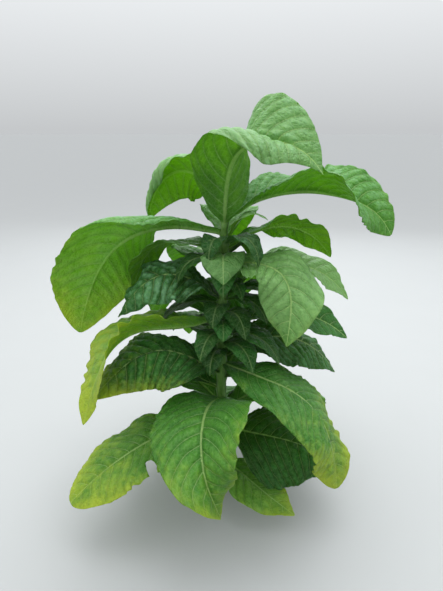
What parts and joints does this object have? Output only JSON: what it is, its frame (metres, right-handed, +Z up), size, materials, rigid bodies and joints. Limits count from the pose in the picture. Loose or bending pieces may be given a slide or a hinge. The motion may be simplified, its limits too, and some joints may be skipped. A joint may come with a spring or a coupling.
{
  "type": "tobacco plant",
  "caption": "Upright leafy tobacco plant: a green stem tapering from a flared foot, broad drooping pointed leaves all round it, and small young leaves close to the stem.",
  "frame": {"origin": "centre of the flat cut under the stem, at ground level", "axes": "+Z up the stem, +X to the right and +Y to the back as the plant is seen in the picture"},
  "size_m": [1.1769, 0.8991, 1.4474],
  "materials": {
    "stem": "pale green fleshy stem with fine ridges, satin",
    "leaf_green": "mid-green leaf with a paler midrib, satin",
    "leaf_pale": "pale yellowish green young leaf, satin",
    "leaf_dark": "dark bluish green leaf in the shade, satin",
    "leaf_old": "old leaf, yellowing at the tip and the margins, satin"
  },
  "bodies": {
    "root": {"stem": "stem", "leaf_top": "leaf_pale", "leaf_upper_left": "leaf_pale", "leaf_upper_right": "leaf_green", "leaf_left_big": "leaf_green", "leaf_left_inner": "leaf_pale", "leaf_right_inner": "leaf_green", "leaf_right_pale": "leaf_pale", "leaf_front_pale": "leaf_pale", "leaf_right_behind": "leaf_pale", "leaf_left_ruffled": "leaf_dark", "leaf_left_long": "leaf_old", "leaf_right_upper": "leaf_dark", "leaf_right_middle": "leaf_dark", "leaf_right_low": "leaf_green", "leaf_left_low": "leaf_dark", "leaf_left_behind": "leaf_dark", "leaf_front_low": "leaf_green", "leaf_left_bottom": "leaf_old", "leaf_right_bottom": "leaf_dark", "leaf_front_bottom": "leaf_old", "leaf_back_1": "leaf_green", "leaf_back_2": "leaf_green", "leaf_back_3": "leaf_green", "leaf_back_4": "leaf_green", "leaf_back_5": "leaf_green", "leaf_back_6": "leaf_green", "leaf_back_7": "leaf_green", "leaf_back_8": "leaf_green", "leaf_back_9": "leaf_green", "leaf_back_10": "leaf_green", "leaf_back_11": "leaf_green", "leaf_inner_1": "leaf_dark", "leaf_inner_2": "leaf_dark", "leaf_inner_3": "leaf_dark", "leaf_inner_4": "leaf_dark", "leaf_inner_5": "leaf_dark", "leaf_inner_6": "leaf_dark", "leaf_inner_7": "leaf_dark", "leaf_inner_8": "leaf_dark", "leaf_inner_9": "leaf_dark", "leaf_inner_10": "leaf_dark", "leaf_inner_11": "leaf_dark", "leaf_small_1": "leaf_dark", "leaf_small_2": "leaf_dark", "leaf_small_3": "leaf_dark", "leaf_small_4": "leaf_dark", "leaf_small_5": "leaf_dark", "leaf_small_6": "leaf_dark", "leaf_small_7": "leaf_dark", "leaf_small_8": "leaf_dark", "leaf_small_9": "leaf_dark", "leaf_small_10": "leaf_dark", "leaf_small_11": "leaf_dark", "young_leaf_1": "leaf_pale", "young_leaf_2": "leaf_pale"}
  },
  "joints": []
}
